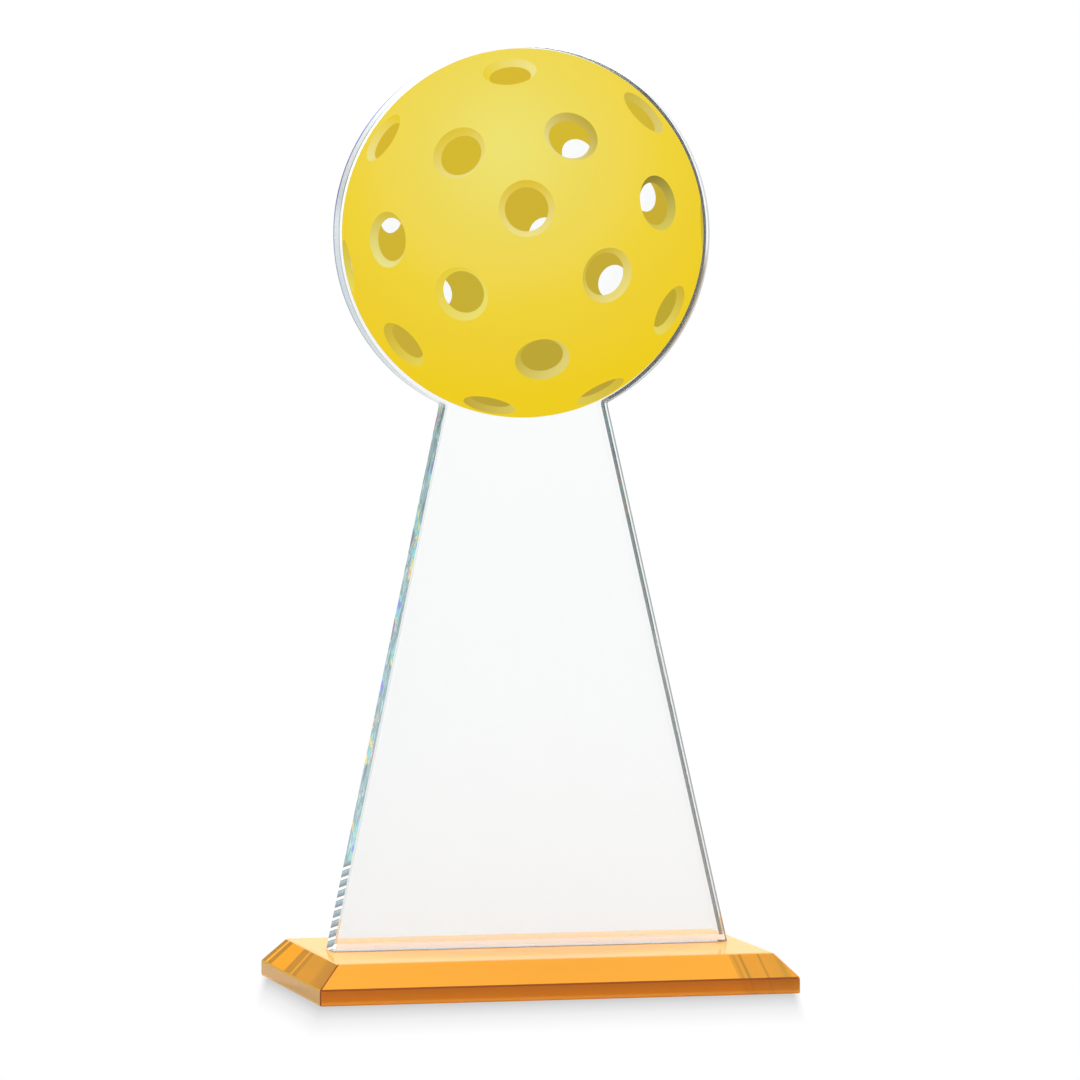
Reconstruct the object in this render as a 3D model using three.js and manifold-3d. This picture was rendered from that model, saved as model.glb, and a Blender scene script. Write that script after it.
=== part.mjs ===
// Pickleball award: a clear glass plate with a flat printed ball on its round head, standing
// on a bevelled amber glass base. Millimetres, +Z up, +X to the right, the printed face looks
// along -Y, and the origin is the middle of the underside.
//
// The ball is a picture: areas of cured ink on the front of the plate, one beside the other,
// over a coat of white. They are worked out by looking at a drilled ball from straight ahead.
import * as THREE from "three";
import { mergeVertices } from "three/addons/utils/BufferGeometryUtils.js";
import Module from "manifold-3d";

// ---- Driving dimensions ----
const totalHeight = 304.8; // 12 in
const glassStock = 12.7; // both pieces are cut from 1/2 in glass

const baseWidth = 156.6;
const baseDepth = 108;
const baseBevelHeight = 7.6;
const baseBevelInset = 7.2;
const arris = 0.6; // the narrow polished chamfer on every sharp glass edge

const bondThickness = 0.2; // cured adhesive between the two pieces of glass
const bondMargin = 1; // from the edges of the plate's foot

const plateFootWidth = 130.6;
const headRadius = 61;
const neckHalfWidth = 26.6; // where a straight side meets the round head
const notchRadius = 1.6; // the small concave corner there

const inkThickness = 0.15; // each of the two coats
const inkGap = 0.3; // clear space between two ink areas
const ballRadius = 59.6; // the printed disc
const ballOffsetX = -0.8; // the print sits a little left of the head's middle
const ballOffsetZ = 0.3;

const viewDistance = 9.8; // of the drawing's eye from the ball's middle, in ball radii
const mouthAngle = 8.1; // half the angle that a hole's outer edge takes up, seen from the middle
const throatAngle = 6.5; // the same for the inner edge of its bevelled mouth
const throatDepth = 0.966; // distance of that inner edge from the middle, in ball radii
const farHoleAngle = 6; // for the holes in the far wall
const pastOutline = 1.03; // how far out a mouth is carried at the edge, in ball radii

const discSides = 72;
const holeSides = 20;

// The drilled pattern: longitude to the right and latitude upwards, in degrees, from the point
// nearest the eye. A hole with far: looks through the ball to a hole in the far wall, given
// the same way, and is clear glass where the two line up. One that is seen edge on shows only
// its bevel.
const holes = [
  { lon: -7, lat: 57 },
  { lon: -60, lat: 30.5 },
  { lon: -21, lat: 24 },
  { lon: 1, lat: 7, far: { lon: 8, lat: -0.5 } },
  { lon: -45, lat: -1.5, far: { lon: -54, lat: 6.5 } },
  { lon: -19.5, lat: -17.5, far: { lon: -35, lat: -20.5 } },
  { lon: -51.5, lat: -35 },
  { lon: -27.5, lat: -65.5 },
  { lon: 7, lat: -40 },
  { lon: 26, lat: -12.5, far: { lon: 35.5, lat: -17.5 } },
  { lon: 59, lat: -24.5 },
  { lon: 51, lat: -58 },
  { lon: 16.5, lat: 29, far: { lon: 23, lat: 28.5 } },
  { lon: 57, lat: 39 },
  { lon: 45.5, lat: 8.5, far: { lon: 49.5, lat: 13 } },
  { lon: 82.5, lat: 1.5, edgeOn: true },
  { lon: -76.5, lat: -9.5, edgeOn: true },
];

// ---- Worked out from them ----
const plateFoot = glassStock + bondThickness;
const headCentre = totalHeight - headRadius;
const neckHeight = headCentre - Math.sqrt(headRadius ** 2 - neckHalfWidth ** 2);
const plateFront = -glassStock / 2;
const gapAngle = THREE.MathUtils.radToDeg(inkGap / ballRadius);

// ---- Solids: every cut and join is done here ----
const wasm = await Module();
wasm.setup();

function solid(geometry) {
  const plain = geometry.clone();
  plain.deleteAttribute("normal");
  plain.deleteAttribute("uv");
  const merged = mergeVertices(plain, 1e-5);
  return new wasm.Manifold(
    new wasm.Mesh({
      numProp: 3,
      vertProperties: merged.attributes.position.array,
      triVerts: new Uint32Array(merged.index.array),
    }),
  );
}

function geometryOf(manifold) {
  const mesh = manifold.getMesh();
  const geometry = new THREE.BufferGeometry();
  geometry.setAttribute("position", new THREE.BufferAttribute(mesh.vertProperties, 3));
  geometry.setIndex(new THREE.BufferAttribute(mesh.triVerts, 1));
  geometry.computeVertexNormals();
  return geometry;
}

// A shape drawn in X and Z, given thickness along Y from y = front backwards.
function slab(shape, front, thickness, bevel = 0) {
  const geometry = new THREE.ExtrudeGeometry(shape, {
    depth: thickness - 2 * bevel,
    bevelEnabled: bevel > 0,
    bevelThickness: bevel,
    bevelSize: bevel,
    bevelOffset: -bevel,
    bevelSegments: 1,
    curveSegments: discSides,
  });
  geometry.rotateX(Math.PI / 2);
  geometry.translate(0, front + thickness - bevel, 0);
  return geometry;
}

function outline(points) {
  return new THREE.Shape(points.map(([x, z]) => new THREE.Vector2(x, z)));
}

// ---- Base: a block whose upper edges are cut back at about 45 degrees all round ----
function bevelledProfile(width) {
  const half = width / 2;
  const bandTop = glassStock - baseBevelHeight;
  return outline([
    [arris - half, 0],
    [half - arris, 0],
    [half, arris],
    [half, bandTop],
    [half - baseBevelInset, glassStock],
    [baseBevelInset - half, glassStock],
    [-half, bandTop],
    [-half, arris],
  ]);
}

function base() {
  const acrossX = solid(slab(bevelledProfile(baseWidth), -baseDepth / 2, baseDepth));
  const sideways = slab(bevelledProfile(baseDepth), -baseWidth / 2, baseWidth);
  const acrossY = solid(sideways.rotateZ(Math.PI / 2));
  return geometryOf(acrossX.intersect(acrossY));
}

// ---- Plate: a tapering foot, a neck with two small notches, and a round head ----
function plateShape() {
  const side = new THREE.Vector2(plateFootWidth / 2 - neckHalfWidth, plateFoot - neckHeight).normalize();
  const tangent = new THREE.Vector2(headCentre - neckHeight, neckHalfWidth).normalize();
  const corner = new THREE.Vector2(neckHalfWidth, neckHeight);
  const turn = Math.acos(side.dot(tangent));
  const reach = notchRadius / Math.tan(turn / 2);
  const below = corner.clone().addScaledVector(side, reach);
  const above = corner.clone().addScaledVector(tangent, reach);
  const start = Math.atan2(above.y - headCentre, above.x);

  const shape = new THREE.Shape();
  shape.moveTo(-plateFootWidth / 2, plateFoot);
  shape.lineTo(plateFootWidth / 2, plateFoot);
  shape.lineTo(below.x, below.y);
  for (const step of [0.25, 0.5, 0.75]) {
    const point = new THREE.QuadraticBezierCurve(below, corner, above).getPoint(step);
    shape.lineTo(point.x, point.y);
  }
  shape.absarc(0, headCentre, headRadius, start, Math.PI - start, false);
  for (const step of [0.75, 0.5, 0.25]) {
    const point = new THREE.QuadraticBezierCurve(below, corner, above).getPoint(step);
    shape.lineTo(-point.x, point.y);
  }
  shape.lineTo(-below.x, below.y);
  shape.closePath();
  return shape;
}

function plate() {
  return slab(plateShape(), plateFront, glassStock, arris);
}

function bondFilm() {
  const width = plateFootWidth - 2 * (arris + bondMargin);
  const depth = glassStock - 2 * (arris + bondMargin);
  const film = new THREE.BoxGeometry(width, depth, bondThickness);
  film.translate(0, 0, glassStock + bondThickness / 2);
  return film;
}

// ---- Print: circles on the ball, seen by the drawing's eye ----
function direction({ lon, lat }, side = 1) {
  const east = THREE.MathUtils.degToRad(lon);
  const north = THREE.MathUtils.degToRad(lat);
  return new THREE.Vector3(
    Math.sin(east) * Math.cos(north),
    Math.sin(north),
    side * Math.cos(east) * Math.cos(north),
  );
}

// A circle of the given half angle about a direction, drawn flat. The ball's own outline comes
// out at ballRadius. The stretch of a mouth that lies behind that outline isn't drawn: its two
// ends are carried out past the outline instead, so that it stays open to the edge of the disc.
function drawnCircle(towards, halfAngle, depth) {
  const angle = THREE.MathUtils.degToRad(halfAngle);
  const right = new THREE.Vector3(0, 1, 0).cross(towards).normalize();
  const up = towards.clone().cross(right);
  const limb = 1 / Math.sqrt(viewDistance ** 2 - 1);
  const seen = [];
  let firstAfterGap = 0;
  let hiddenBefore = false;
  for (let i = 0; i < holeSides; i += 1) {
    const around = (2 * Math.PI * i) / holeSides;
    const point = towards
      .clone()
      .multiplyScalar(Math.cos(angle))
      .addScaledVector(right, Math.sin(angle) * Math.cos(around))
      .addScaledVector(up, Math.sin(angle) * Math.sin(around))
      .multiplyScalar(depth);
    const hidden = depth === 1 && point.z < 1 / viewDistance;
    if (!hidden) {
      if (hiddenBefore) firstAfterGap = seen.length;
      const scale = ballRadius / ((viewDistance - point.z) * limb);
      seen.push(new THREE.Vector2(point.x * scale, point.y * scale));
    }
    hiddenBefore = hidden;
  }
  if (seen.length < holeSides) {
    seen.unshift(...seen.splice(firstAfterGap));
    const [first, last] = [seen[0], seen[seen.length - 1]];
    seen.push(last.clone().multiplyScalar(pastOutline), first.clone().multiplyScalar(pastOutline));
  }
  return outline(seen.map(({ x, y }) => [ballOffsetX + x, headCentre + ballOffsetZ + y]));
}

function disc(radius) {
  return new THREE.Shape().absarc(ballOffsetX, headCentre + ballOffsetZ, radius, 0, 2 * Math.PI);
}

const colourFront = plateFront - 2 * inkThickness;
const whiteFront = plateFront - inkThickness;

function ink(shape, front = colourFront) {
  return solid(slab(shape, front, inkThickness));
}

function window(hole, front) {
  const near = ink(drawnCircle(direction(hole), throatAngle, throatDepth), front);
  const far = ink(drawnCircle(direction(hole.far, -1), farHoleAngle, throatDepth), front);
  return near.intersect(far);
}

function rim(hole) {
  const towards = direction(hole);
  return ink(drawnCircle(towards, mouthAngle - gapAngle, 1))
    .subtract(ink(drawnCircle(towards, throatAngle + gapAngle, throatDepth)))
    .intersect(ink(disc(ballRadius - inkGap)));
}

function recess(hole) {
  const towards = direction(hole);
  const seen = ink(drawnCircle(towards, throatAngle, throatDepth))
    .intersect(ink(drawnCircle(towards, mouthAngle - 2 * gapAngle, 1)))
    .intersect(ink(disc(ballRadius - inkGap)));
  return hole.far ? seen.subtract(window(hole, colourFront)) : seen;
}

function whiteCoat() {
  const clear = holes.filter((hole) => hole.far).map((hole) => window(hole, whiteFront));
  return clear.reduce((coat, hole) => coat.subtract(hole), ink(disc(ballRadius), whiteFront));
}

function yellowCoat() {
  const mouths = holes.map((hole) => ink(drawnCircle(direction(hole), mouthAngle, 1)));
  return mouths.reduce((coat, mouth) => coat.subtract(mouth), ink(disc(ballRadius)));
}

// ---- Finishes ----
const clearGlass = new THREE.MeshStandardMaterial({
  color: 0xf4faf8,
  roughness: 0.02,
  metalness: 0,
  transparent: true,
  opacity: 0.3,
});
const amberGlass = new THREE.MeshStandardMaterial({ color: 0xfdb13f, roughness: 0.03, metalness: 0 });
const curedAdhesive = new THREE.MeshStandardMaterial({ color: 0xf7f8f8, roughness: 0.1, metalness: 0 });
const whiteInk = new THREE.MeshStandardMaterial({ color: 0xfafafa, roughness: 0.35, metalness: 0 });
const yellowInk = new THREE.MeshStandardMaterial({ color: 0xeed62c, roughness: 0.35, metalness: 0 });
const rimInk = new THREE.MeshStandardMaterial({ color: 0xdcca4a, roughness: 0.35, metalness: 0 });
const recessInk = new THREE.MeshStandardMaterial({ color: 0xc6ac2c, roughness: 0.35, metalness: 0 });

// ---- Assembly ----
const award = new THREE.Group();

function add(name, geometry, material) {
  const mesh = new THREE.Mesh(geometry, material);
  mesh.name = name;
  award.add(mesh);
}

add("amber_base", base(), amberGlass);
add("bond_film", bondFilm(), curedAdhesive);
add("upright_plate", plate(), clearGlass);
add("print_white_coat", geometryOf(whiteCoat()), whiteInk);
add("print_yellow_coat", geometryOf(yellowCoat()), yellowInk);
holes.forEach((hole, index) => {
  const number = String(index + 1).padStart(2, "0");
  add(`hole_${number}_rim`, geometryOf(rim(hole)), rimInk);
  if (!hole.edgeOn) add(`hole_${number}_recess`, geometryOf(recess(hole)), recessInk);
});

export default award;
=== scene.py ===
"""A glass award: a clear plate with a printed pickleball, bonded to a bevelled amber glass base.

Metres, +Z up, +X to the right, and the printed face looks along -Y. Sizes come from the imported
frame where it has them, and from the named values below where it doesn't.
"""

import math

import bmesh
import bpy
from mathutils import Matrix, Vector


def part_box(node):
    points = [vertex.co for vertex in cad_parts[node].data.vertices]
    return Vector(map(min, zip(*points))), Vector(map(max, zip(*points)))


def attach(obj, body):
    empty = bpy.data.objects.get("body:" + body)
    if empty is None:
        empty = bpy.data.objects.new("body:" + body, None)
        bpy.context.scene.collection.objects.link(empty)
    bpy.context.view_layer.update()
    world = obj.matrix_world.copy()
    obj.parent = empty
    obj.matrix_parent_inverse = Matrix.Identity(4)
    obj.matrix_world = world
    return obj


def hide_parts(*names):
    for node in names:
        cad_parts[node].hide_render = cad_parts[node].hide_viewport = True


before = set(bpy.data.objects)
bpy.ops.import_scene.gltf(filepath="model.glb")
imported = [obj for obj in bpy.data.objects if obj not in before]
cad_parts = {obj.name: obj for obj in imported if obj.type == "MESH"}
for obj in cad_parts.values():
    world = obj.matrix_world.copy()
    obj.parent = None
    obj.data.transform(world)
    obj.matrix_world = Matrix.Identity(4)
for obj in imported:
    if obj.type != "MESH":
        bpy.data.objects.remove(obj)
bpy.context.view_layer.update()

MM = 0.001

# ---- Sizes and settings that the frame's boxes don't say ----
BASE_BEVEL_HEIGHT = 7.6 * MM
BASE_BEVEL_INSET = 7.2 * MM
BASE_ARRIS = 0.35 * MM
GLOW_HEIGHT = 0.9 * MM
PLATE_ARRIS = 0.6 * MM
NECK_HALF_WIDTH = 26.6 * MM
HEAD_RADIUS = 61 * MM
NOTCH_REACH = 1.25 * MM
FOOT_BAND = 2.4 * MM
RIM_LINE = 3.8 * MM
FILM_CORNER = 1.2 * MM
STREAK_WIDTH = 4 * MM
STREAK_LENGTH = 14 * MM
GLINT_SPACING = 9 * MM
GLINT_WIDTH = 100 / 9 * MM
HUE_LENGTH = 6 * MM
HUE_WIDTH = 20 / 3 * MM
HUE_SHIFT = 3
BAR_PITCH = 3.26 * MM
BAR_LEAN = 0.16
BAR_TOP = 41.6 * MM
BAR_TINT = 0.35
FAR_END_START = 56 * MM
FAR_END_STOP = 82 * MM
FAR_END_LEAN = 0.3
FILM_CLEARANCE = 0.01 * MM
DROPLET_PITCH = 0.7 * MM
INK_DEPTH = 0.93
INK_KEY = 0.02 * MM
CUTTER_MARGIN = 1 * MM
WELD = 0.002 * MM
HEAD_STEPS = 720
CORNER_SEGMENTS = 6
SMOOTH_LIMIT = math.radians(20)
FACE_ON = 0.99
FLOOR_RADIUS = 6
FLOOR_DROP = 0.3 * MM

# ---- The camera ----
CAMERA_AZIMUTH = math.radians(11.65)
CAMERA_PITCH = math.radians(2.79)
CAMERA_ROLL = math.radians(0.43)
CAMERA_DISTANCE = 3.0126
CAMERA_ASIDE = 0.00514
CAMERA_HEIGHT = 0.14452

# ---- The glass and the light in it ----
GLASS_IOR = 1.52
FOOT_CLARITY = 0.84
NECK_CLARITY = 0.98
CROWN_START = 5 / 7
CROWN_WHITE = (0.96, 0.96, 0.96, 1)
WHITE = (1, 1, 1, 1)

# ---- The painted soft shadow on the floor ----
SHADOW_AZIMUTH = CAMERA_AZIMUTH
SHADOW_REACH = 98 * MM
SHADOW_SOFTNESS = 12 * MM

# ---- Worked out from them and the frame ----
BASE_LOW, BASE_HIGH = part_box("amber_base")
MITRE_SHIFT = BASE_HIGH.x - BASE_HIGH.y
PLATE_LOW, PLATE_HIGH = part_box("upright_plate")
PLATE_FOOT = PLATE_LOW.z
HEAD_MIDDLE = PLATE_HIGH.z - HEAD_RADIUS
NECK_HEIGHT = HEAD_MIDDLE - math.sqrt(HEAD_RADIUS**2 - NECK_HALF_WIDTH**2)
COAT_LOW, COAT_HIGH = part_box("print_white_coat")
BALL_CENTRE = Vector(((COAT_LOW.x + COAT_HIGH.x) / 2, 0, (COAT_LOW.z + COAT_HIGH.z) / 2))
BALL_RADIUS = (COAT_HIGH.x - COAT_LOW.x) / 2
INK_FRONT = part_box("print_yellow_coat")[0].y
COAT_BREAK = COAT_LOW.y
INK_BACK = COAT_HIGH.y + INK_KEY
HIGHLIGHT = BALL_CENTRE + Vector((-5.5, 0, 27.1)) * MM
HIGHLIGHT_REACH = 80 * MM

# ---- The drawing of the ball, in ball radii and degrees ----
VIEW_DISTANCE = 9.8
MOUTH_ANGLE = 8.1
THROAT_ANGLE = 6.5
THROAT_DEPTH = 0.966
FAR_HOLE_ANGLE = 6.0
PAST_OUTLINE = 1.03
CIRCLE_SIDES = 96
DISC_SIDES = 360

# Each hole: where it is on the ball, as longitude to the right and latitude upwards; the colour
# seen down it; its bevelled mouth from the shaded side to the lit side, and which way the shaded
# side lies, anticlockwise from the right. A hole with a far one shows daylight where they line up.
HOLES = [
    {"at": (-7, 57), "down": "#D6B729", "mouth": ("#E9CF2C", "#EFE38C"), "shade": 195},
    {"at": (-60, 30.5), "down": "#D5B628", "mouth": ("#E8CB20", "#EDE08A"), "shade": 60},
    {"at": (-21, 24), "down": "#D3B728", "mouth": ("#DEC22C", "#ECDF86"), "shade": 115},
    {"at": (1, 7), "down": "#CDB12A", "mouth": ("#DEBF29", "#EEE189"), "shade": 95,
     "far": (8, -0.5)},
    {"at": (-45, -1.5), "down": "#CFB32B", "mouth": ("#D1BB34", "#EAE38E"), "shade": 75,
     "far": (-54, 6.5)},
    {"at": (-19.5, -17.5), "down": "#C6AE2D", "mouth": ("#E6CC34", "#EBDF70"), "shade": 125,
     "far": (-35, -20.5)},
    {"at": (-51.5, -35), "down": "#C6AC32", "mouth": ("#CDB22F", "#E6D250"), "shade": 130},
    {"at": (-27.5, -65.5), "down": "#BAA331", "mouth": ("#C0A733", "#D9C75A"), "shade": 180},
    {"at": (7, -40), "down": "#BBA52E", "mouth": ("#C5B134", "#E2D376"), "shade": 140},
    {"at": (26, -12.5), "down": "#C4AA2F", "mouth": ("#CBB32B", "#ECDD7F"), "shade": 130,
     "far": (35.5, -17.5)},
    {"at": (59, -24.5), "down": "#BDA72A", "mouth": ("#CEB32C", "#E8D860"), "shade": 60},
    {"at": (51, -58), "down": "#BBA235", "mouth": ("#D0B830", "#DCC94F"), "shade": 50},
    {"at": (16.5, 29), "down": "#D3B728", "mouth": ("#BCA534", "#E8DB89"), "shade": 50,
     "far": (23, 28.5)},
    {"at": (57, 39), "down": "#D1B62E", "mouth": ("#CDB63A", "#DBCB70"), "shade": 130},
    {"at": (45.5, 8.5), "down": "#C7AC2B", "mouth": ("#8E7F2C", "#D6C858"), "shade": 110,
     "far": (49.5, 13)},
    {"at": (82.5, 1.5), "mouth": ("#B8A52E", "#D8C040"), "shade": 90},
    {"at": (-76.5, -9.5), "mouth": ("#D0BC38", "#E8D95A"), "shade": 90},
]


# ---- Helpers ----
def linear(hex_colour):
    """An sRGB hex colour as linear RGBA."""
    channels = [int(hex_colour[i : i + 2], 16) / 255 for i in (1, 3, 5)]
    return (*[c / 12.92 if c <= 0.04045 else ((c + 0.055) / 1.055) ** 2.4 for c in channels], 1.0)


def add_node(tree, kind, inputs=None, stops=(), **settings):
    """A node with its settings. Each input is a value to set or a socket to link, and each stop
    of a colour ramp is a position with a colour: sRGB hex, or linear RGBA."""
    node = tree.nodes.new(kind)
    for number, (position, colour) in enumerate(stops):
        elements = node.color_ramp.elements
        inner = 0 < number < len(stops) - 1
        element = elements.new(position) if inner else elements[-1 if number else 0]
        element.position = position
        element.color = linear(colour) if isinstance(colour, str) else colour
    for name, value in settings.items():
        setattr(node, name, value)
    for name, value in (inputs or {}).items():
        if isinstance(value, bpy.types.NodeSocket):
            tree.links.new(value, node.inputs[name])
        else:
            node.inputs[name].default_value = value
    return node


def ink_tone(hex_colour):
    """An ink's colour, a little under what it looks like, because the softbox lifts it."""
    return tuple(INK_DEPTH * channel for channel in linear(hex_colour)[:3]) + (1.0,)


def new_material(name):
    material = bpy.data.materials.new(name)
    material.use_nodes = True
    tree = material.node_tree
    tree.nodes.clear()
    output = add_node(tree, "ShaderNodeOutputMaterial")
    return material, tree, output


def new_object(name, bm):
    """An object at the origin made from a bmesh, which is used up."""
    mesh = bpy.data.meshes.new(name)
    bm.to_mesh(mesh)
    bm.free()
    made = bpy.data.objects.new(name, mesh)
    bpy.context.collection.objects.link(made)
    return made


def new_piece(name, bm, materials, nodes):
    """An object made from a bmesh, with its finish, riding on the one body."""
    piece = new_object(name, bm)
    for material in materials:
        piece.data.materials.append(material)
    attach(piece, "root")
    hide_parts(*nodes)
    return piece


def thicken(bm, depth):
    """Give a flat outline that has been filled its thickness along Y."""
    behind = bmesh.ops.extrude_face_region(bm, geom=bm.faces[:])
    moved = [item for item in behind["geom"] if isinstance(item, bmesh.types.BMVert)]
    bmesh.ops.translate(bm, verts=moved, vec=(0, depth, 0))
    bmesh.ops.recalc_face_normals(bm, faces=bm.faces[:])


# ---- Camera ----
def make_camera():
    forward = Vector(
        (
            math.sin(CAMERA_AZIMUTH) * math.cos(CAMERA_PITCH),
            math.cos(CAMERA_AZIMUTH) * math.cos(CAMERA_PITCH),
            -math.sin(CAMERA_PITCH),
        )
    )
    right = Vector((math.cos(CAMERA_AZIMUTH), -math.sin(CAMERA_AZIMUTH), 0))
    up = right.cross(forward)
    data = bpy.data.cameras.new("camera")
    data.sensor_width = 36
    data.lens = 309.8
    data.clip_start = 0.1
    data.clip_end = 50
    camera = bpy.data.objects.new("camera", data)
    bpy.context.collection.objects.link(camera)
    place = Vector((0, 0, CAMERA_HEIGHT)) + right * CAMERA_ASIDE - forward * CAMERA_DISTANCE
    turn = Matrix((right, up, -forward)).transposed().to_4x4()
    roll = Matrix.Rotation(-CAMERA_ROLL, 4, "Z")
    camera.matrix_world = Matrix.Translation(place) @ turn @ roll
    bpy.context.scene.camera = camera


# ---- Materials ----
def edge_streaks(tree, place):
    """Painted reflections on a long polished edge: sea-green streaks, a few rainbow glints, and near
    the foot the amber base's reflections, cut into leaning bars."""
    # Painted reflections of the plate's light, drawn out along the edge.
    drawn_out = add_node(
        tree, "ShaderNodeMapping", {"Vector": place, "Scale": (0, 1 / STREAK_WIDTH, 1 / STREAK_LENGTH)}
    ).outputs["Vector"]
    grain = add_node(
        tree,
        "ShaderNodeTexNoise",
        {"Vector": drawn_out, "Scale": 1.0, "Detail": 2.0, "Roughness": 0.5, "Distortion": 0.3},
    ).outputs["Fac"]
    sea_green = add_node(
        tree,
        "ShaderNodeValToRGB",
        {"Fac": grain},
        stops=[
            (0.34, "#1E4A54"),
            (0.41, "#447880"),
            (0.46, "#94CCD6"),
            (0.49, "#52787C"),
            (0.53, "#669496"),
            (0.56, "#2E8CAA"),
            (0.60, "#C4ECF0"),
            (0.66, "#2C8074"),
        ],
    ).outputs["Color"]
    spaced = add_node(
        tree, "ShaderNodeMapping", {"Vector": place, "Scale": (0, 1 / GLINT_WIDTH, 1 / GLINT_SPACING)}
    ).outputs["Vector"]
    where = add_node(
        tree, "ShaderNodeTexNoise", {"Vector": spaced, "Scale": 1.0, "Detail": 0.0}
    ).outputs["Fac"]
    glint = add_node(
        tree, "ShaderNodeMapRange", {"Value": where, "From Min": 0.53, "From Max": 0.58}
    ).outputs["Result"]
    spread = add_node(
        tree,
        "ShaderNodeMapping",
        {
            "Vector": place,
            "Scale": (0, 1 / HUE_WIDTH, 1 / HUE_LENGTH),
            "Location": (0, HUE_SHIFT, 0),
        },
    ).outputs["Vector"]
    hue = add_node(
        tree, "ShaderNodeTexNoise", {"Vector": spread, "Scale": 1.0, "Detail": 1.0}
    ).outputs["Fac"]
    rainbow = add_node(
        tree,
        "ShaderNodeValToRGB",
        {"Fac": hue},
        stops=[
            (0.30, "#6A52D0"),
            (0.38, "#3E92DC"),
            (0.45, "#6CD8E2"),
            (0.52, "#5CB498"),
            (0.58, "#F0E454"),
            (0.64, "#D88890"),
            (0.72, "#7A64D4"),
        ],
    ).outputs["Color"]
    upper = add_node(
        tree, "ShaderNodeMix", {0: glint, 6: sea_green, 7: rainbow}, data_type="RGBA"
    ).outputs[2]
    axes = add_node(tree, "ShaderNodeSeparateXYZ", {"Vector": place})
    leaning = add_node(
        tree,
        "ShaderNodeMath",
        {0: axes.outputs["Y"], 1: BAR_LEAN, 2: axes.outputs["Z"]},
        operation="MULTIPLY_ADD",
    ).outputs["Value"]
    turns = add_node(
        tree, "ShaderNodeMath", {0: leaning, 1: BAR_PITCH}, operation="DIVIDE"
    ).outputs["Value"]
    phase = add_node(tree, "ShaderNodeMath", {0: turns}, operation="FRACT").outputs["Value"]
    bars = add_node(
        tree,
        "ShaderNodeValToRGB",
        {"Fac": phase},
        stops=[
            (0.0, "#FFFFFF"),
            (0.22, "#FFFFFF"),
            (0.27, "#16222C"),
            (0.40, "#3A4C56"),
            (0.55, "#5C7E8A"),
            (0.80, "#8CB4BC"),
            (0.93, "#4C6866"),
            (0.97, "#FFFFFF"),
        ],
    ).outputs["Color"]
    tinted_bars = add_node(
        tree,
        "ShaderNodeMix",
        {0: BAR_TINT, 6: bars, 7: sea_green},
        data_type="RGBA",
        blend_type="OVERLAY",
    ).outputs[2]
    above = add_node(
        tree, "ShaderNodeMath", {0: leaning, 1: BAR_TOP}, operation="GREATER_THAN"
    ).outputs["Value"]
    return add_node(
        tree, "ShaderNodeMix", {0: above, 6: tinted_bars, 7: upper}, data_type="RGBA"
    ).outputs[2]


def clear_glass():
    """Low-iron float glass, polished: almost no colour through the faces, and a little less clear
    towards the foot. Its long edges are painted with sea-green streaks, a painted reflection of the
    light of the whole plate gathered there."""
    material, tree, output = new_material("low_iron_float_glass")
    place = add_node(tree, "ShaderNodeTexCoord").outputs["Object"]
    tone = add_node(tree, "ShaderNodeAttribute", attribute_name="tone")
    clearness = add_node(tree, "ShaderNodeAttribute", attribute_name="clearness")
    height = add_node(tree, "ShaderNodeSeparateXYZ", {"Vector": place}).outputs["Z"]
    body = add_node(
        tree,
        "ShaderNodeMix",
        {0: tone.outputs["Alpha"], 6: tone.outputs["Color"], 7: edge_streaks(tree, place)},
        data_type="RGBA",
    ).outputs[2]
    # Less clear towards the foot, more clear towards the neck.
    bloom = add_node(
        tree,
        "ShaderNodeMapRange",
        {
            "Value": height,
            "From Min": PLATE_FOOT,
            "From Max": NECK_HEIGHT,
            "To Min": FOOT_CLARITY,
            "To Max": NECK_CLARITY,
        },
    ).outputs["Result"]
    clarity = add_node(
        tree,
        "ShaderNodeMath",
        {0: bloom, 1: clearness.outputs["Fac"]},
        operation="MULTIPLY",
    ).outputs["Value"]
    glass = add_node(
        tree,
        "ShaderNodeBsdfPrincipled",
        {
            "Base Color": body,
            "Roughness": 0.0,
            "IOR": GLASS_IOR,
            "Specular IOR Level": 0.2,
            "Transmission Weight": clarity,
        },
    )
    tree.links.new(glass.outputs["BSDF"], output.inputs["Surface"])
    iron = add_node(
        tree, "ShaderNodeVolumeAbsorption", {"Color": linear("#B9E0DA"), "Density": 1.0}
    )
    tree.links.new(iron.outputs["Volume"], output.inputs["Volume"])
    return material


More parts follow.
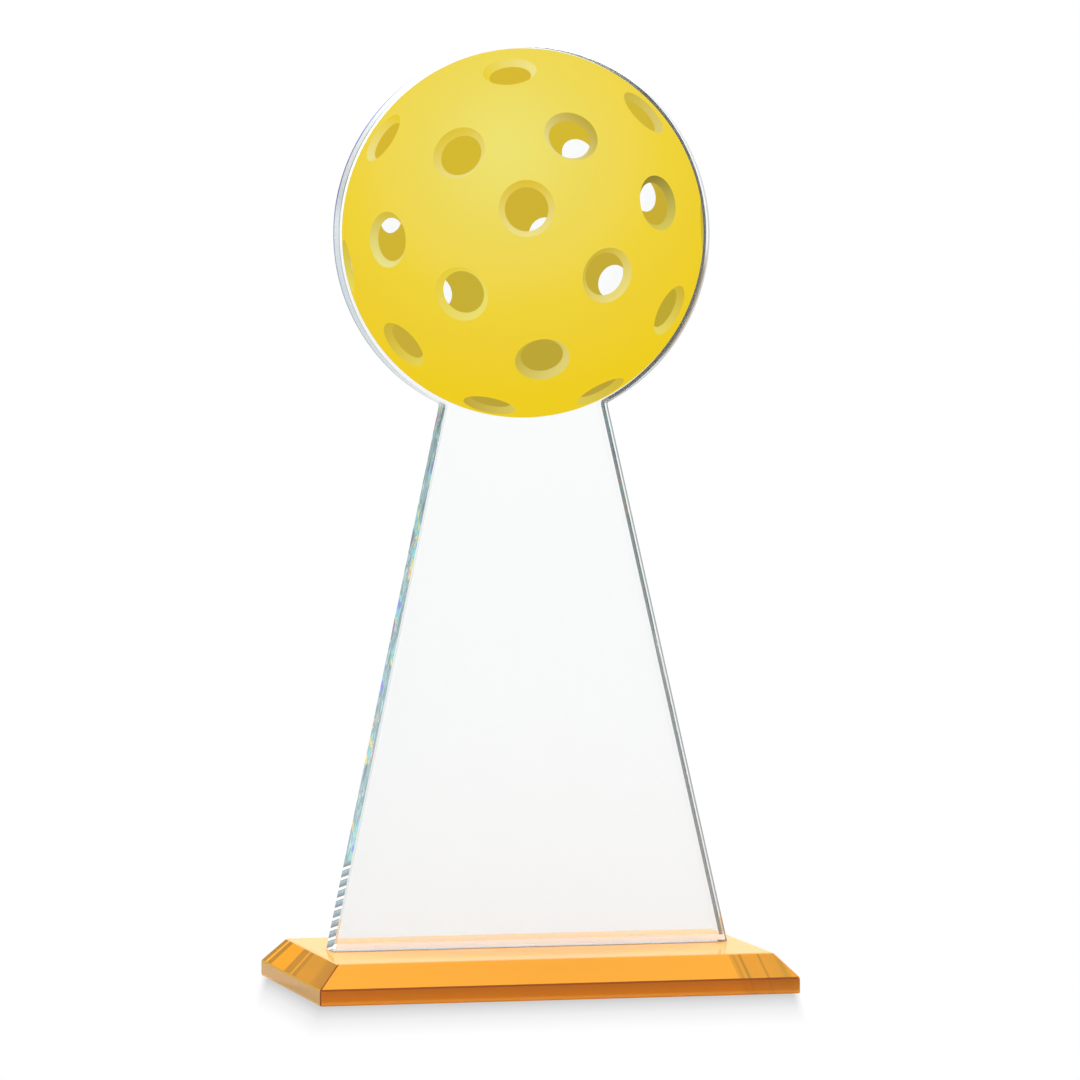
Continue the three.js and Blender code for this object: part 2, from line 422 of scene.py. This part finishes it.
def amber_glass():
    """Cast glass coloured through with amber and polished, with painted light and shade on each face:
    warm and bright where light comes up from the ground underside, deeper in the upright band, with
    painted reflections of itself as streaks at the ends."""
    material, tree, output = new_material("amber_cast_glass")
    place = add_node(tree, "ShaderNodeTexCoord").outputs["Object"]
    axes = add_node(tree, "ShaderNodeSeparateXYZ", {"Vector": place})
    tone = add_node(tree, "ShaderNodeAttribute", attribute_name="tone")
    # How far along the end a point is, from -1 at one mitre to 1 at the other.
    reach = add_node(tree, "ShaderNodeMath", {0: axes.outputs["X"]}, operation="ABSOLUTE")
    half_depth = add_node(
        tree,
        "ShaderNodeMath",
        {0: reach.outputs["Value"], 1: MITRE_SHIFT},
        operation="SUBTRACT",
    )
    along = add_node(
        tree,
        "ShaderNodeMath",
        {0: axes.outputs["Y"], 1: half_depth.outputs["Value"]},
        operation="DIVIDE",
    )
    share = add_node(
        tree,
        "ShaderNodeMapRange",
        {"Value": along.outputs["Value"], "From Min": 1.0, "From Max": -1.0},
    )
    # Painted reflections of the base's own ends, as streaks across the end bevels.
    streaks = add_node(
        tree,
        "ShaderNodeValToRGB",
        {"Fac": share.outputs["Result"]},
        stops=[
            (0.0, "#BF8826"),
            (0.055, "#BF8826"),
            (0.065, "#FFC44B"),
            (0.085, "#FFC44B"),
            (0.095, "#BD892C"),
            (0.150, "#BD892C"),
            (0.160, "#FFB124"),
            (0.370, "#FFB124"),
            (0.385, "#C18F32"),
            (0.475, "#C18F32"),
            (0.485, "#F0AC38"),
            (0.505, "#F0AC38"),
            (0.515, "#BD8D32"),
            (0.560, "#BD8D32"),
            (0.575, "#DA9D34"),
            (0.790, "#DA9D34"),
            (0.860, "#C69235"),
            (1.0, "#C18C34"),
        ],
    ).outputs["Color"]
    # The painted reflection of the far end, broken into a few leaning streaks on the long bevels.
    leaning = add_node(
        tree,
        "ShaderNodeMath",
        {0: axes.outputs["Z"], 1: FAR_END_LEAN, 2: axes.outputs["X"]},
        operation="MULTIPLY_ADD",
    )
    near_end = add_node(
        tree,
        "ShaderNodeMapRange",
        {
            "Value": leaning.outputs["Value"],
            "From Min": FAR_END_START,
            "From Max": FAR_END_STOP,
        },
    )
    far_end = add_node(
        tree,
        "ShaderNodeValToRGB",
        {"Fac": near_end.outputs["Result"]},
        stops=[
            (0.0, "#FFFFFF"),
            (0.150, "#FFFFFF"),
            (0.155, "#E4E6F3"),
            (0.190, "#E4E6F3"),
            (0.195, "#C6D6F6"),
            (0.220, "#CFDAF3"),
            (0.225, "#E6E8F3"),
            (0.265, "#E6E8F3"),
            (0.275, "#B4C8EE"),
            (0.300, "#BCCEF0"),
            (0.310, "#E8E9F2"),
            (0.505, "#E8E9F2"),
            (0.512, "#BACDF0"),
            (0.535, "#C4D3F0"),
            (0.545, "#E8E9F2"),
            (0.700, "#E2E5F2"),
            (0.760, "#CBD8F2"),
            (0.830, "#F0EEF0"),
            (1.0, "#F8F4EE"),
        ],
    ).outputs["Color"]
    mirrored = add_node(tree, "ShaderNodeAttribute", attribute_name="far_end")
    streaked = add_node(
        tree,
        "ShaderNodeMix",
        {0: mirrored.outputs["Fac"], 6: tone.outputs["Color"], 7: far_end},
        data_type="RGBA",
        blend_type="MULTIPLY",
    ).outputs[2]
    body = add_node(
        tree,
        "ShaderNodeMix",
        {0: tone.outputs["Alpha"], 6: streaked, 7: streaks},
        data_type="RGBA",
    ).outputs[2]
    glass = add_node(
        tree,
        "ShaderNodeBsdfPrincipled",
        {
            "Base Color": body,
            "Roughness": 0.0,
            "IOR": GLASS_IOR,
            "Specular IOR Level": 0.0,
            "Transmission Weight": 0.5,
        },
    )
    tree.links.new(glass.outputs["BSDF"], output.inputs["Surface"])
    depth = add_node(
        tree, "ShaderNodeVolumeAbsorption", {"Color": (0.98, 0.73, 0.0, 1), "Density": 40.0}
    )
    tree.links.new(depth.outputs["Volume"], output.inputs["Volume"])
    return material


def cured_adhesive():
    """Light-cured acrylic adhesive: a thin film coloured white, a painted reflection that turns the
    plate's foot silvery white.
    """
    material, tree, output = new_material("light_cured_adhesive")
    film = add_node(
        tree,
        "ShaderNodeBsdfPrincipled",
        {"Base Color": linear("#F6F8F8"), "Roughness": 0.15, "IOR": 1.5},
    )
    tree.links.new(film.outputs["BSDF"], output.inputs["Surface"])
    return material


def cured_ink(name, colour):
    """Light-cured print ink: satin, with the faint pebbling that its droplets leave."""
    material, tree, output = new_material(name)
    place = add_node(tree, "ShaderNodeTexCoord").outputs["Object"]
    droplets = add_node(
        tree,
        "ShaderNodeTexNoise",
        {"Vector": place, "Scale": 1 / DROPLET_PITCH, "Detail": 1.0, "Roughness": 0.5},
    )
    pebbling = add_node(
        tree,
        "ShaderNodeBump",
        {"Height": droplets.outputs["Fac"], "Strength": 0.08, "Distance": 0.02 * MM},
    )
    sheen = add_node(
        tree,
        "ShaderNodeMapRange",
        {"Value": droplets.outputs["Fac"], "To Min": 0.36, "To Max": 0.48},
    )
    coat = add_node(
        tree,
        "ShaderNodeBsdfPrincipled",
        {
            "Base Color": colour(tree, place) if callable(colour) else ink_tone(colour),
            "Roughness": sheen.outputs["Result"],
            "Specular IOR Level": 0.15,
            "Normal": pebbling.outputs["Normal"],
        },
    )
    tree.links.new(coat.outputs["BSDF"], output.inputs["Surface"])
    return material


def white_ink():
    return cured_ink("white_print_ink", "#FBFBFA")


def yellow_ink():
    """Palest at the printed highlight and deeper towards the edge of the ball."""

    def shaded(tree, place):
        offset = add_node(
            tree, "ShaderNodeVectorMath", {0: place, 1: HIGHLIGHT}, operation="SUBTRACT"
        )
        in_plane = add_node(
            tree,
            "ShaderNodeVectorMath",
            {0: offset.outputs["Vector"], 1: (1, 0, 1)},
            operation="MULTIPLY",
        )
        reach = add_node(
            tree, "ShaderNodeVectorMath", {0: in_plane.outputs["Vector"]}, operation="LENGTH"
        )
        share = add_node(
            tree,
            "ShaderNodeMapRange",
            {"Value": reach.outputs["Value"], "From Max": HIGHLIGHT_REACH},
        )
        return add_node(
            tree,
            "ShaderNodeValToRGB",
            {"Fac": share.outputs["Result"]},
            stops=[
                (0.0, ink_tone("#EDE26F")),
                (0.16, ink_tone("#EDDE66")),
                (0.33, ink_tone("#EDD956")),
                (0.50, ink_tone("#EFD64A")),
                (0.65, ink_tone("#EFD333")),
                (0.82, ink_tone("#EECF29")),
                (1.0, ink_tone("#EFCE11")),
            ],
        ).outputs["Color"]

    return cured_ink("ball_yellow_print_ink", shaded)


def rim_ink():
    """The bevelled mouths of the holes: each fades from its shaded side to its lit side."""

    def faded(tree, _place):
        return add_node(tree, "ShaderNodeAttribute", attribute_name="tone").outputs["Color"]

    return cured_ink("hole_rim_print_ink", faded)


# ---- Base ----
# Each region of the base: its colour, the amber with painted light and shade for how light falls
# on that face, how much of it is the painted streaks of its own short ends, and how strongly the
# painted reflection of the far end shows in it.
BASE_TONES = {
    "underside": ("#E8B060", 0.0, 0.0),
    "lower arris": ("#FFA52A", 0.0, 0.0),
    "left corner": ("#8A4A06", 0.0, 0.0),
    "right corner": ("#F49A14", 0.0, 0.0),
    "end bevel": ("#C0954C", 1.0, 0.0),
    "end band at the floor": ("#FFD070", 0.0, 0.0),
    "end band": ("#DCAC22", 0.0, 0.0),
    "long shoulder": ("#9A5404", 0.0, 0.0),
    "long band at the floor": ("#FFB43C", 0.0, 0.3),
    "long band above the floor": ("#F09806", 0.0, 0.3),
    "long band": ("#CE7F00", 0.0, 0.3),
    "top": ("#FFBF64", 0.0, 0.0),
    "long bevel": ("#FFBC38", 0.0, 1.0),
}


def base_region(normal, place):
    """Which region of the base a corner of a face belongs to."""
    endways, lengthways, upwards = abs(normal.x), abs(normal.y), normal.z
    if upwards < -0.9:
        return "underside"
    if upwards < -0.1:
        return "lower arris"
    if min(endways, lengthways) > 0.2:
        return "left corner" if place.x < 0 else "right corner"
    if endways > 0.5 and upwards > 0.5:
        return "end bevel"
    if endways > 0.5:
        return "end band at the floor" if place.z < 1.2 * BASE_ARRIS else "end band"
    if 0.2 < upwards < 0.5:
        return "long shoulder"
    if lengthways > 0.9 and place.z < 1.01 * GLOW_HEIGHT:
        return "long band at the floor"
    if lengthways > 0.9:
        return "long band above the floor" if place.z < 2 * GLOW_HEIGHT else "long band"
    return "top" if upwards > 0.9 else "long bevel"


def make_base():
    size = BASE_HIGH - BASE_LOW
    band_height = size.z - BASE_BEVEL_HEIGHT
    bm = bmesh.new()
    bmesh.ops.create_cube(bm, size=1)
    bmesh.ops.scale(bm, verts=bm.verts, vec=(size.x, size.y, band_height))
    bmesh.ops.translate(bm, verts=bm.verts, vec=(0, 0, band_height / 2))
    bm.normal_update()
    top = [face for face in bm.faces if face.normal.z > 0.5]
    bmesh.ops.inset_region(
        bm,
        faces=top,
        thickness=BASE_BEVEL_INSET,
        depth=BASE_BEVEL_HEIGHT,
        use_even_offset=True,
    )
    bmesh.ops.bevel(
        bm,
        geom=bm.edges[:],
        offset=BASE_ARRIS,
        segments=1,
        profile=0.5,
        affect="EDGES",
        material=-1,
    )
    # Cuts for the bands along the floor, which are painted brighter, a painted glow of light from the
    # floor.
    for height in (GLOW_HEIGHT, 1.6 * GLOW_HEIGHT):
        bmesh.ops.bisect_plane(
            bm,
            geom=bm.verts[:] + bm.edges[:] + bm.faces[:],
            plane_co=(0, 0, height),
            plane_no=(0, 0, 1),
        )
    bm.normal_update()
    tone = bm.loops.layers.float_color.new("tone")
    mirrored = bm.loops.layers.float.new("far_end")
    for face in bm.faces:
        for corner in face.loops:
            colour, streaks, far_end = BASE_TONES[base_region(face.normal, corner.vert.co)]
            corner[tone] = (*linear(colour)[:3], streaks)
            corner[mirrored] = far_end
    return new_piece("award_base", bm, [amber_glass()], ["amber_base"])


# ---- Plate ----
def part_way(value, start, end):
    """How far a value has come from the start to the end, from 0 to 1."""
    return min(max((value - start) / (end - start), 0.0), 1.0)


def blend(first, second, share):
    """A linear colour part of the way from the first to the second."""
    return tuple(a + (b - a) * share for a, b in zip(first, second))


def left_rim_tone(middle, climb, is_arris):
    """Painted reflections on the left rim of the head: a violet line at the back, a pale band, a grey
    line, and a white arris at the front. Each goes from a lower tone to an upper one."""
    if is_arris:
        lower = upper = "#F6F8FA" if middle.y < 0 else "#9AA9B0"
    elif middle.y > RIM_LINE:
        lower, upper = "#3E5F6A", "#5058C8"
    elif middle.y < -RIM_LINE:
        lower, upper = "#8496A0", "#9AA9B0"
    else:
        lower, upper = "#B2C6CE", "#DCE8EC"
    return blend(linear(lower), linear(upper), part_way(climb, -0.5, 0.5))


def plate_tone(normal, middle, place):
    """The colour of the glass at a corner of a face, with painted light and shade, how much of it is
    painted edge streaks, and how clear it is. The left edge is painted lit, the right one painted in
    its own shade, the top of the head's rim painted towards white, and the front face painted white
    in a band at the foot, a painted reflection."""
    in_front = middle.y < 0
    if abs(normal.y) > FACE_ON:
        # A painted reflection: a nearly opaque white band along the front face at the foot.
        in_band = normal.y < 0 and middle.z < PLATE_FOOT + FOOT_BAND
        return (linear("#FDFDFF"), 0.0, 0.1) if in_band else (linear("#FCFDFD"), 0.0, 1.0)
    if normal.z < -0.5 and place.z < PLATE_FOOT + 2 * PLATE_ARRIS:
        return linear("#E4F0F8"), 0.0, 1.0
    is_arris = abs(normal.y) > 0.1
    on_head = place.z > NECK_HEIGHT + 2 * PLATE_ARRIS
    climb = (place.z - BALL_CENTRE.z) / HEAD_RADIUS
    # The top of the head's rim is painted towards white, a painted highlight.
    crown = part_way(climb, CROWN_START, 1)
    if middle.x > 0 and not is_arris:
        return linear("#FAFCFC"), 0.0, 1.0
    # Painted shade on the right rim of the head, grey at the front and dark at the back.
    if middle.x > 0 and on_head:
        grey = linear("#C4C8CA" if in_front else "#454B4E")
        return blend(grey, linear("#F8FAFB"), crown), 0.0, 0.2
    if middle.x > 0:
        return linear("#8C9496" if in_front else "#6A7274"), 0.0, 0.5
    if on_head:
        return blend(left_rim_tone(middle, climb, is_arris), CROWN_WHITE, crown), 0.0, 0.25
    if not is_arris:
        return linear("#8FAAA8"), 1.0, 0.12
    return (linear("#E4EAEA"), 0.0, 0.9) if in_front else (linear("#7F8E86"), 0.0, 0.4)


def make_plate():
    half_turn = math.asin(NECK_HALF_WIDTH / HEAD_RADIUS)
    bm = bmesh.new()
    foot_left = bm.verts.new((PLATE_LOW.x, PLATE_LOW.y, PLATE_LOW.z))
    foot_right = bm.verts.new((PLATE_HIGH.x, PLATE_LOW.y, PLATE_LOW.z))
    neck_right = bm.verts.new((NECK_HALF_WIDTH, PLATE_LOW.y, NECK_HEIGHT))
    bm.edges.new((foot_left, foot_right))
    bm.edges.new((foot_right, neck_right))
    arc = bmesh.ops.spin(
        bm,
        geom=[neck_right],
        cent=(0, PLATE_LOW.y, HEAD_MIDDLE),
        axis=(0, -1, 0),
        angle=2 * (math.pi - half_turn),
        steps=HEAD_STEPS,
        use_duplicate=False,
    )
    neck_left = [item for item in arc["geom_last"] if isinstance(item, bmesh.types.BMVert)][0]
    bm.edges.new((neck_left, foot_left))
    bmesh.ops.edgeloop_fill(bm, edges=bm.edges[:])
    bmesh.ops.bevel(
        bm,
        geom=[neck_left, neck_right],
        offset=NOTCH_REACH,
        segments=CORNER_SEGMENTS,
        profile=0.5,
        affect="VERTICES",
        material=-1,
        clamp_overlap=False,
    )
    thicken(bm, PLATE_HIGH.y - PLATE_LOW.y)
    outlines = [e for e in bm.edges if abs(e.verts[0].co.y - e.verts[1].co.y) < WELD]
    bmesh.ops.bevel(
        bm,
        geom=outlines,
        offset=PLATE_ARRIS,
        segments=1,
        profile=0.5,
        affect="EDGES",
        material=-1,
        clamp_overlap=False,
    )
    for place, normal in (
        ((0, 0, PLATE_FOOT + FOOT_BAND), (0, 0, 1)),
        ((0, RIM_LINE, 0), (0, 1, 0)),
        ((0, -RIM_LINE, 0), (0, 1, 0)),
    ):
        bmesh.ops.bisect_plane(
            bm,
            geom=bm.verts[:] + bm.edges[:] + bm.faces[:],
            plane_co=place,
            plane_no=normal,
        )
    bm.normal_update()
    tone = bm.loops.layers.float_color.new("tone")
    clearness = bm.loops.layers.float.new("clearness")
    for face in bm.faces:
        face.smooth = abs(face.normal.y) < FACE_ON
        middle = face.calc_center_median()
        for corner in face.loops:
            colour, streaks, clear = plate_tone(face.normal, middle, corner.vert.co)
            corner[tone] = (*colour[:3], streaks)
            corner[clearness] = clear
    for edge in bm.edges:
        edge.smooth = edge.calc_face_angle(0) < SMOOTH_LIMIT
    return new_piece("award_plate", bm, [clear_glass()], ["upright_plate"])


def make_film():
    low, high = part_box("bond_film")
    middle, size = (low + high) / 2, high - low
    bm = bmesh.new()
    bmesh.ops.create_cube(bm, size=1)
    bmesh.ops.scale(bm, verts=bm.verts, vec=size)
    bmesh.ops.translate(bm, verts=bm.verts, vec=middle)
    upright = [e for e in bm.edges if abs(e.verts[0].co.z - e.verts[1].co.z) > size.z / 2]
    bmesh.ops.bevel(
        bm,
        geom=upright,
        offset=FILM_CORNER,
        segments=CORNER_SEGMENTS,
        profile=0.5,
        affect="EDGES",
        material=-1,
    )
    # A hair thinner than the gap, so that no face lies in a face of the glass.
    bmesh.ops.scale(
        bm,
        verts=bm.verts,
        vec=(1, 1, 1 - 2 * FILM_CLEARANCE / size.z),
        space=Matrix.Translation(-middle),
    )
    return new_piece("bond_film_bead", bm, [cured_adhesive()], ["bond_film"])


# ---- Print ----
def on_ball(place, side=1):
    """The direction of a hole from the ball's middle: right, up, towards the eye."""
    east, north = (math.radians(angle) for angle in place)
    return Vector(
        (
            math.sin(east) * math.cos(north),
            math.sin(north),
            side * math.cos(east) * math.cos(north),
        )
    )


def drawn_circle(towards, half_angle, depth):
    """The outline of a circle on the ball, drawn flat in X and Z at y = 0."""
    angle = math.radians(half_angle)
    bm = bmesh.new()
    bmesh.ops.create_circle(bm, segments=CIRCLE_SIDES, radius=depth * math.sin(angle))
    bmesh.ops.translate(bm, verts=bm.verts, vec=(0, 0, depth * math.cos(angle)))
    turn = Vector((0, 0, 1)).rotation_difference(towards).to_matrix()
    bmesh.ops.rotate(bm, verts=bm.verts, cent=(0, 0, 0), matrix=turn)
    if depth == 1:
        behind = [vert for vert in bm.verts if vert.co.z < 1 / VIEW_DISTANCE]
        bmesh.ops.delete(bm, geom=behind, context="VERTS")
    limb = 1 / math.sqrt(VIEW_DISTANCE**2 - 1)
    for vert in bm.verts:
        scale = BALL_RADIUS / ((VIEW_DISTANCE - vert.co.z) * limb)
        vert.co = Vector((vert.co.x * scale, 0, vert.co.y * scale))
    ends = [vert for vert in bm.verts if len(vert.link_edges) == 1]
    if ends:
        outside = [bm.verts.new(vert.co * PAST_OUTLINE) for vert in ends]
        bm.edges.new((ends[0], outside[0]))
        bm.edges.new(outside)
        bm.edges.new((outside[1], ends[1]))
    bmesh.ops.translate(bm, verts=bm.verts, vec=BALL_CENTRE)
    return bm


def disc_outline():
    bm = bmesh.new()
    bmesh.ops.create_circle(bm, segments=DISC_SIDES, radius=BALL_RADIUS)
    bmesh.ops.rotate(bm, verts=bm.verts, cent=(0, 0, 0), matrix=Matrix.Rotation(math.pi / 2, 3, "X"))
    bmesh.ops.translate(bm, verts=bm.verts, vec=BALL_CENTRE)
    return bm


def slab(bm, front, back):
    """A flat outline filled and given its thickness along Y, as an object to cut or to cut with."""
    bmesh.ops.translate(bm, verts=bm.verts, vec=(0, front, 0))
    bmesh.ops.edgeloop_fill(bm, edges=bm.edges[:])
    thicken(bm, back - front)
    return new_object("slab", bm)


def cutter(bm):
    return slab(bm, INK_FRONT - CUTTER_MARGIN, INK_BACK + CUTTER_MARGIN)


def cut(stock, tools):
    """The stock after each (operation, cutter) in turn, as a bmesh; the shapes are used up."""
    for operation, tool in tools:
        modifier = stock.modifiers.new("cut", "BOOLEAN")
        modifier.operation = operation
        modifier.solver = "EXACT"
        modifier.object = tool
    shaped = stock.evaluated_get(bpy.context.evaluated_depsgraph_get())
    bm = bmesh.new()
    bm.from_mesh(shaped.to_mesh())
    shaped.to_mesh_clear()
    for shape in [stock] + [tool for _, tool in tools]:
        bpy.data.objects.remove(shape)
    bmesh.ops.remove_doubles(bm, verts=bm.verts, dist=WELD)
    # A cut can leave a lone face hanging on nothing.
    strays = [face for face in bm.faces if all(edge.is_boundary for edge in face.edges)]
    bmesh.ops.delete(bm, geom=strays, context="FACES")
    return bm


def mouth(hole):
    return drawn_circle(on_ball(hole["at"]), MOUTH_ANGLE, 1)


def throat(hole):
    return drawn_circle(on_ball(hole["at"]), THROAT_ANGLE, THROAT_DEPTH)


def daylight(hole):
    """What a hole shows through the ball: its throat and the far hole's, where they line up."""
    near = cutter(throat(hole))
    far = slab(
        drawn_circle(on_ball(hole["far"], -1), FAR_HOLE_ANGLE, THROAT_DEPTH),
        INK_FRONT - 2 * CUTTER_MARGIN,
        INK_BACK + 2 * CUTTER_MARGIN,
    )
    return new_object("daylight", cut(near, [("INTERSECT", far)]))


def make_white_coat():
    stock = slab(disc_outline(), COAT_BREAK, INK_BACK)
    tools = [("DIFFERENCE", daylight(hole)) for hole in HOLES if "far" in hole]
    bm = cut(stock, tools)
    return new_piece("white_coat", bm, [white_ink()], ["print_white_coat"])


def make_yellow_coat():
    stock = slab(disc_outline(), INK_FRONT, COAT_BREAK)
    tools = [("DIFFERENCE", cutter(mouth(hole))) for hole in HOLES]
    bm = cut(stock, tools)
    return new_piece("yellow_coat", bm, [yellow_ink()], ["print_yellow_coat"])


def make_rim(number, hole, finish):
    stock = slab(mouth(hole), INK_FRONT, COAT_BREAK)
    tools = [("DIFFERENCE", cutter(throat(hole))), ("INTERSECT", cutter(disc_outline()))]
    bm = cut(stock, tools)
    towards_shade = Vector(
        (math.cos(math.radians(hole["shade"])), 0, math.sin(math.radians(hole["shade"])))
    )
    reach = [vert.co.dot(towards_shade) for vert in bm.verts]
    lit, shaded = min(reach), max(reach)
    shade_colour, lit_colour = (Vector(ink_tone(colour)) for colour in hole["mouth"])
    tone = bm.verts.layers.float_color.new("tone")
    for vert, far in zip(bm.verts, reach):
        vert[tone] = lit_colour.lerp(shade_colour, (far - lit) / (shaded - lit))
    name = f"hole_{number:02d}_rim"
    return new_piece(f"printed_{name}", bm, [finish], [name])


def make_recess(number, hole):
    stock = slab(throat(hole), INK_FRONT, COAT_BREAK)
    tools = [("INTERSECT", cutter(mouth(hole))), ("INTERSECT", cutter(disc_outline()))]
    if "far" in hole:
        tools.append(("DIFFERENCE", daylight(hole)))
    bm = cut(stock, tools)
    name = f"hole_{number:02d}_recess"
    finish = cured_ink(f"hole_{number:02d}_shadow_print_ink", hole["down"])
    return new_piece(f"printed_{name}", bm, [finish], [name])


def make_print():
    make_white_coat()
    make_yellow_coat()
    rim_finish = rim_ink()
    for number, hole in enumerate(HOLES, start=1):
        make_rim(number, hole, rim_finish)
        if "down" in hole:
            make_recess(number, hole)


# ---- Stage ----
def white_sweep():
    """Overexposed white paper, with a painted soft shadow of the base reaching out in front of it."""
    material, tree, output = new_material("white_sweep")
    place = add_node(tree, "ShaderNodeTexCoord").outputs["Object"]
    # How far back along the shadow's direction a point meets the base's outline, and leaves it.
    half_base = Vector((BASE_HIGH.x, BASE_HIGH.y, 0))
    slopes = (math.sin(SHADOW_AZIMUTH), math.cos(SHADOW_AZIMUTH), 1)
    ways = []
    for side in (-half_base, half_base):
        offset = add_node(
            tree, "ShaderNodeVectorMath", {0: side, 1: place}, operation="SUBTRACT"
        ).outputs["Vector"]
        way = add_node(
            tree, "ShaderNodeVectorMath", {0: offset, 1: slopes}, operation="DIVIDE"
        ).outputs["Vector"]
        ways.append(add_node(tree, "ShaderNodeSeparateXYZ", {"Vector": way}).outputs)
    meets, leaves = ways
    entry = add_node(
        tree, "ShaderNodeMath", {0: meets["X"], 1: meets["Y"]}, operation="MAXIMUM"
    ).outputs["Value"]
    leave = add_node(
        tree, "ShaderNodeMath", {0: leaves["X"], 1: leaves["Y"]}, operation="MINIMUM"
    ).outputs["Value"]
    start = add_node(
        tree, "ShaderNodeMath", {0: entry, 1: 0.0}, operation="MAXIMUM"
    ).outputs["Value"]
    chord = add_node(
        tree, "ShaderNodeMath", {0: leave, 1: start}, operation="SUBTRACT"
    ).outputs["Value"]
    inside = add_node(
        tree, "ShaderNodeMapRange", {"Value": chord, "From Max": SHADOW_SOFTNESS}
    ).outputs["Result"]
    reach = add_node(
        tree, "ShaderNodeMath", {0: entry, 1: SHADOW_REACH}, operation="DIVIDE"
    ).outputs["Value"]
    fade = add_node(
        tree,
        "ShaderNodeValToRGB",
        {"Fac": reach},
        stops=[
            (0.0, "#CFCFCF"),
            (0.17, "#DFDFDF"),
            (0.44, "#F0F0F0"),
            (0.8, "#FBFBFB"),
            (1.0, "#FFFFFF"),
        ],
    ).outputs["Color"]
    shade = add_node(
        tree,
        "ShaderNodeMix",
        {0: inside, 6: WHITE, 7: fade},
        data_type="RGBA",
    ).outputs[2]
    glow = add_node(tree, "ShaderNodeEmission", {"Color": shade, "Strength": 1.0})
    tree.links.new(glow.outputs["Emission"], output.inputs["Surface"])
    return material


def make_stage():
    world = bpy.data.worlds.new("studio")
    world.use_nodes = True
    tree = world.node_tree
    tree.nodes.clear()
    output = add_node(tree, "ShaderNodeOutputWorld")
    path = add_node(tree, "ShaderNodeLightPath")
    seen = add_node(
        tree, "ShaderNodeMath", {0: path.outputs["Glossy Depth"], 1: 1.0}, operation="MINIMUM"
    )
    place = add_node(tree, "ShaderNodeTexCoord")
    axes = add_node(tree, "ShaderNodeSeparateXYZ", {"Vector": place.outputs["Generated"]})
    across = add_node(
        tree, "ShaderNodeMapRange", {"Value": axes.outputs["X"], "From Min": -1, "From Max": 1}
    )
    walls = add_node(
        tree,
        "ShaderNodeValToRGB",
        {"Fac": across.outputs["Result"]},
        stops=[
            (0.0, "#D0D0D0"),
            (0.22, "#D0D0D0"),
            (0.28, "#A4906C"),
            (0.46, "#A4906C"),
            (0.50, "#FFFFFF"),
            (0.80, "#FFFFFF"),
            (0.84, "#606060"),
            (0.92, "#606060"),
            (1.0, "#E0E0E0"),
        ],
    ).outputs["Color"]
    # The walls rise out of the white floor without a hard line at the horizon.
    rise = add_node(
        tree,
        "ShaderNodeMapRange",
        {"Value": axes.outputs["Z"], "From Min": 0.0, "From Max": 0.08},
        interpolation_type="SMOOTHSTEP",
    )
    swept = add_node(
        tree,
        "ShaderNodeMix",
        {0: rise.outputs["Result"], 6: WHITE, 7: walls},
        data_type="RGBA",
    ).outputs[2]
    overhead = add_node(
        tree, "ShaderNodeMapRange", {"Value": axes.outputs["Z"], "From Min": 0.35, "From Max": 0.5}
    )
    room = add_node(
        tree,
        "ShaderNodeMix",
        {0: overhead.outputs["Result"], 6: swept, 7: WHITE},
        data_type="RGBA",
    ).outputs[2]
    colour = add_node(
        tree,
        "ShaderNodeMix",
        {0: seen.outputs["Value"], 6: WHITE, 7: room},
        data_type="RGBA",
    )
    light = add_node(
        tree, "ShaderNodeBackground", {"Color": colour.outputs[2], "Strength": 1.0}
    )
    tree.links.new(light.outputs["Background"], output.inputs["Surface"])
    bpy.context.scene.world = world

    softbox = bpy.data.lights.new("overhead_softbox", "AREA")
    softbox.shape = "SQUARE"
    softbox.size = 0.9
    softbox.energy = 34
    lamp = bpy.data.objects.new("overhead_softbox", softbox)
    lamp.location = (0, 0.05, 1.7)
    lamp.visible_glossy = False
    bpy.context.collection.objects.link(lamp)

    bm = bmesh.new()
    bmesh.ops.create_circle(bm, cap_ends=True, segments=CIRCLE_SIDES, radius=FLOOR_RADIUS)
    bmesh.ops.translate(bm, verts=bm.verts, vec=(0, 0, -FLOOR_DROP))
    floor = new_object("floor", bm)
    floor.data.materials.append(white_sweep())
    scene = bpy.context.scene
    scene.view_settings.view_transform = "Standard"
    scene.cycles.max_bounces = 32
    scene.cycles.glossy_bounces = 24
    scene.cycles.transmission_bounces = 32


make_camera()
make_base()
make_plate()
make_film()
make_print()
make_stage()
